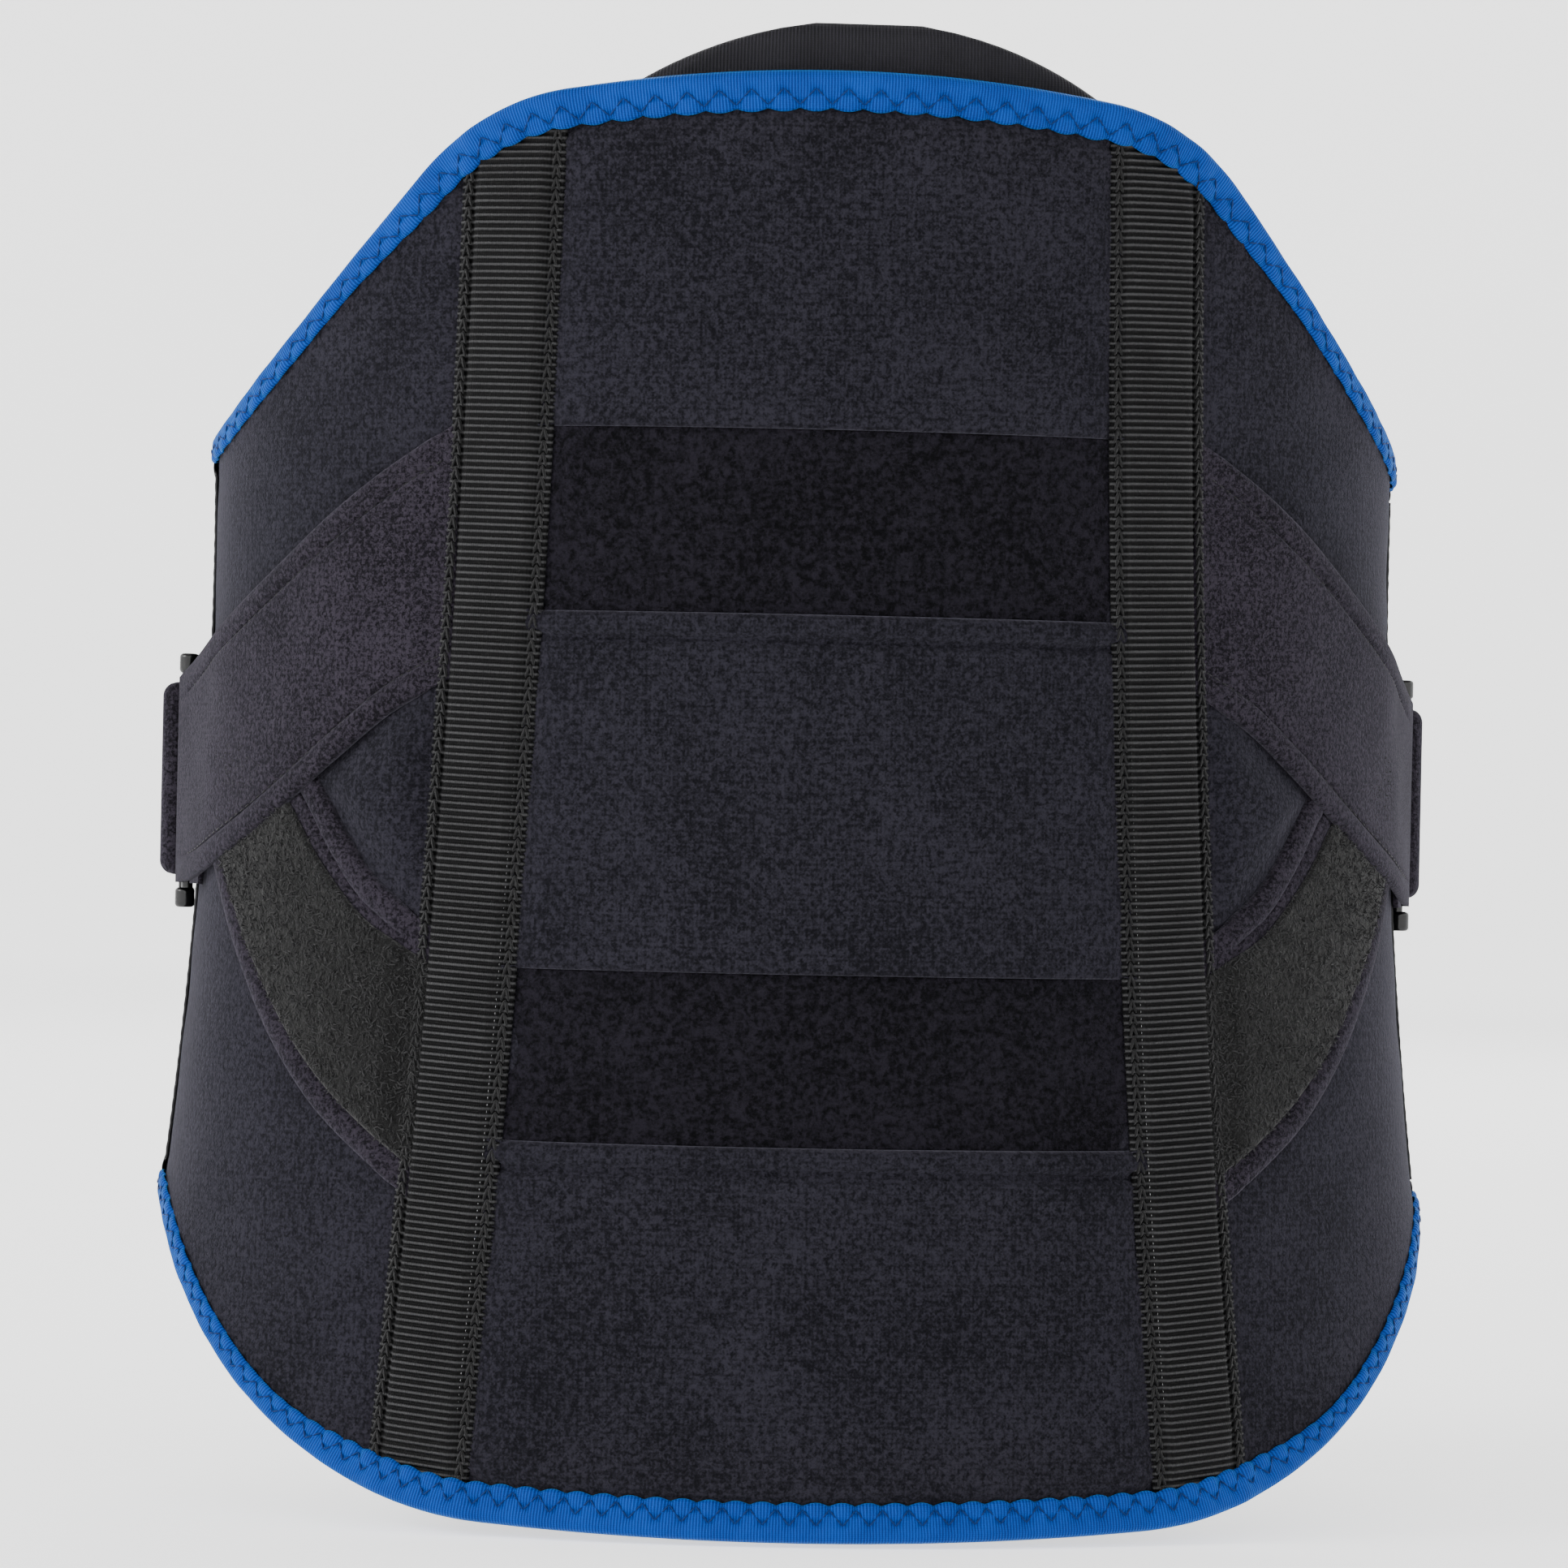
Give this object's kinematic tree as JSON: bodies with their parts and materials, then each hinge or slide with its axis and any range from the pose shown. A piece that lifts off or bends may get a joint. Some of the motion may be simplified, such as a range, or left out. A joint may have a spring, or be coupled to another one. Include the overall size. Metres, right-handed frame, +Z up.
{
  "type": "lumbar support belt",
  "caption": "Lumbar support belt closed as worn: stayed plush back panel with blue bound edges, crossing elastic arms, side rings, pull straps, front wings and inner pad.",
  "frame": {"origin": "on the axis of the wearer's torso, at mid height of the back panel", "axes": "+Z up along the torso, -Y the wearer's back, +Y the belly, +X the wearer's right flank"},
  "size_m": [0.3342, 0.2499, 0.378],
  "materials": {
    "charcoal_plush": "matte brushed loop fabric",
    "black_tricot": "matte knitted fabric",
    "blue_binding": "matte ribbed bias tape with dark blue zigzag stitches",
    "black_webbing": "ribbed grosgrain webbing",
    "band_elastic": "matte brushed elastic",
    "arm_elastic": "matte brushed elastic",
    "loop_tape": "coarse loop tape",
    "hook_tape": "moulded hook tape",
    "black_edging": "ribbed bias tape",
    "spring_steel": "spring steel strip with a dull finish",
    "black_plastic": "gloss moulded plastic",
    "tab_fabric": "smooth woven tape",
    "pad_plate": "semi-rigid plastic sheet"
  },
  "bodies": {
    "back": {"back_panel": "charcoal_plush", "back_lining": "black_tricot", "top_binding": "blue_binding", "bottom_binding": "blue_binding", "upper_band": "band_elastic", "lower_band": "band_elastic", "webbing_channel_right": "black_webbing", "webbing_channel_left": "black_webbing", "back_stay_right": "spring_steel", "back_stay_left": "spring_steel", "upper_arm_right": "arm_elastic", "upper_arm_left": "arm_elastic", "lower_arm_right": "arm_elastic", "lower_arm_left": "arm_elastic", "loop_patch_right": "loop_tape", "loop_patch_left": "loop_tape"},
    "wing_right": {"wing_panel_right": "charcoal_plush", "wing_edging_right": "black_edging", "front_pocket_right": "tab_fabric", "front_stay_right": "spring_steel", "strap_anchor_right": "black_webbing", "arm_loop_right": "arm_elastic", "closure_hook": "hook_tape", "grip_patch": "tab_fabric"},
    "wing_left": {"wing_panel_left": "charcoal_plush", "wing_edging_left": "black_edging", "front_pocket_left": "tab_fabric", "front_stay_left": "spring_steel", "strap_anchor_left": "black_webbing", "arm_loop_left": "arm_elastic", "closure_loop": "loop_tape"},
    "ring_right": {"ring_right": "black_plastic"},
    "strap_right": {"pull_strap_right": "arm_elastic", "strap_tab_right": "tab_fabric", "strap_hook_right": "hook_tape"},
    "ring_left": {"ring_left": "black_plastic"},
    "strap_left": {"pull_strap_left": "arm_elastic", "strap_tab_left": "tab_fabric", "strap_hook_left": "hook_tape"},
    "pad": {"pad_cover": "black_tricot", "pad_plate": "pad_plate", "pad_hook_tapes": "hook_tape"}
  },
  "joints": [
    {"name": "wing_right_open", "type": "hinge", "parent": "back", "child": "wing_right", "pos_m": [0.168, 0, 0], "axis": [0, 0, -1], "range_deg": [0, 75]},
    {"name": "wing_left_open", "type": "hinge", "parent": "back", "child": "wing_left", "pos_m": [-0.168, 0, 0], "axis": [0, 0, 1], "range_deg": [0, 75]},
    {"name": "ring_right_swing", "type": "hinge", "parent": "wing_right", "child": "ring_right", "pos_m": [0.1614, 0.004, 0], "axis": [0, 0, -1], "range_deg": [0, 25]},
    {"name": "strap_right_peel", "type": "hinge", "parent": "ring_right", "child": "strap_right", "pos_m": [0.1626, 0.0165, 0], "axis": [0, 0, -1], "range_deg": [0, 100]},
    {"name": "ring_left_swing", "type": "hinge", "parent": "wing_left", "child": "ring_left", "pos_m": [-0.1614, 0.004, 0], "axis": [0, 0, 1], "range_deg": [0, 25]},
    {"name": "strap_left_peel", "type": "hinge", "parent": "ring_left", "child": "strap_left", "pos_m": [-0.1626, 0.0165, 0], "axis": [0, 0, 1], "range_deg": [0, 100]},
    {"name": "pad_lift", "type": "slide", "parent": "back", "child": "pad", "axis": [0, 1, 0], "range_m": [0, 0.06]}
  ],
  "couplings": [
    {"joint": "wing_left_open", "follows": "wing_right_open", "ratio": 1}
  ]
}
